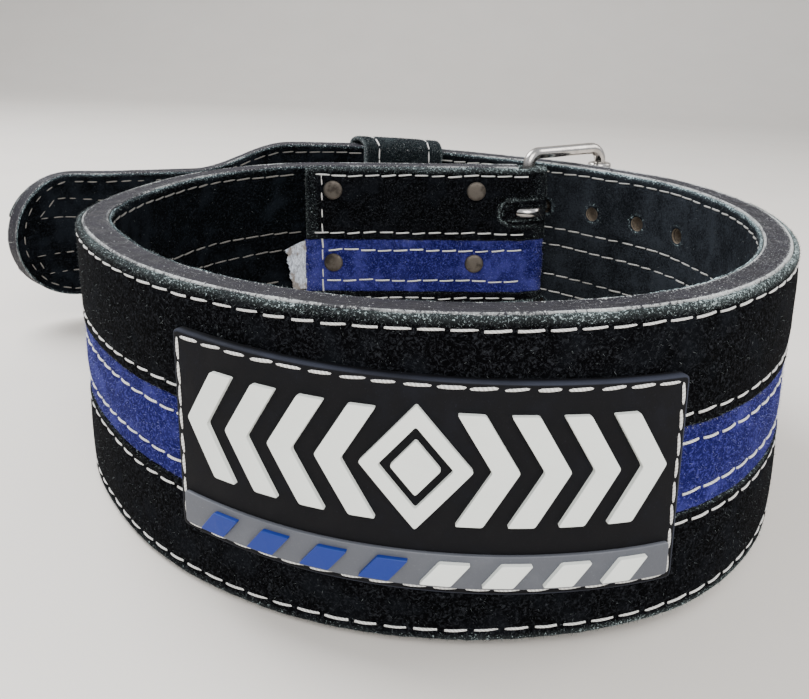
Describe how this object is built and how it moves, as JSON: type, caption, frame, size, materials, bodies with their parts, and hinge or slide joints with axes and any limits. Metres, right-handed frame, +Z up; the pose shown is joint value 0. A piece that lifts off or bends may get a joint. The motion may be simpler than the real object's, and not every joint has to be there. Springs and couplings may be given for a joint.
{
  "type": "weightlifting belt",
  "caption": "Leather powerlifting belt buckled into a waist loop, black suede with a blue stripe, roller buckle with prongs, free tongue in a keeper and a raised rubber patch.",
  "frame": {"origin": "middle of the belt's box, on the surface it rests on", "axes": "+Z up, the belt standing on its lower edge, the front with the patch towards -Y, the tongue's free end towards -X"},
  "size_m": [0.367, 0.317, 0.1193],
  "materials": {
    "leather": "worn, satin",
    "black_suede": "napped, matt",
    "blue_suede": "napped, matt",
    "keeper_suede": "napped, worn, matt",
    "chrome": "polished",
    "rivet_metal": "antique, satin",
    "black_rubber": "satin",
    "grey_rubber": "satin",
    "white_rubber": "satin",
    "blue_rubber": "satin"
  },
  "bodies": {
    "root": {"leather_core": "leather", "suede_lining": "black_suede", "facing_upper": "black_suede", "facing_lower": "black_suede", "blue_stripe": "blue_suede", "keeper_loop": "keeper_suede", "buckle_frame": "chrome", "buckle_roller": "chrome", "prong_upper": "chrome", "prong_lower": "chrome", "rivet_1_1": "rivet_metal", "rivet_1_2": "rivet_metal", "rivet_1_3": "rivet_metal", "rivet_2_1": "rivet_metal", "rivet_2_2": "rivet_metal", "rivet_2_3": "rivet_metal", "patch_panel": "black_rubber", "patch_band": "grey_rubber", "diamond_ring": "white_rubber", "diamond_heart": "white_rubber", "chevron_left_1": "white_rubber", "chevron_right_1": "white_rubber", "chevron_left_2": "white_rubber", "chevron_right_2": "white_rubber", "chevron_left_3": "white_rubber", "chevron_right_3": "white_rubber", "chevron_left_4": "white_rubber", "chevron_right_4": "white_rubber", "slash_1": "blue_rubber", "slash_2": "blue_rubber", "slash_3": "blue_rubber", "slash_4": "blue_rubber", "slash_5": "white_rubber", "slash_6": "white_rubber", "slash_7": "white_rubber", "slash_8": "white_rubber"}
  },
  "joints": []
}
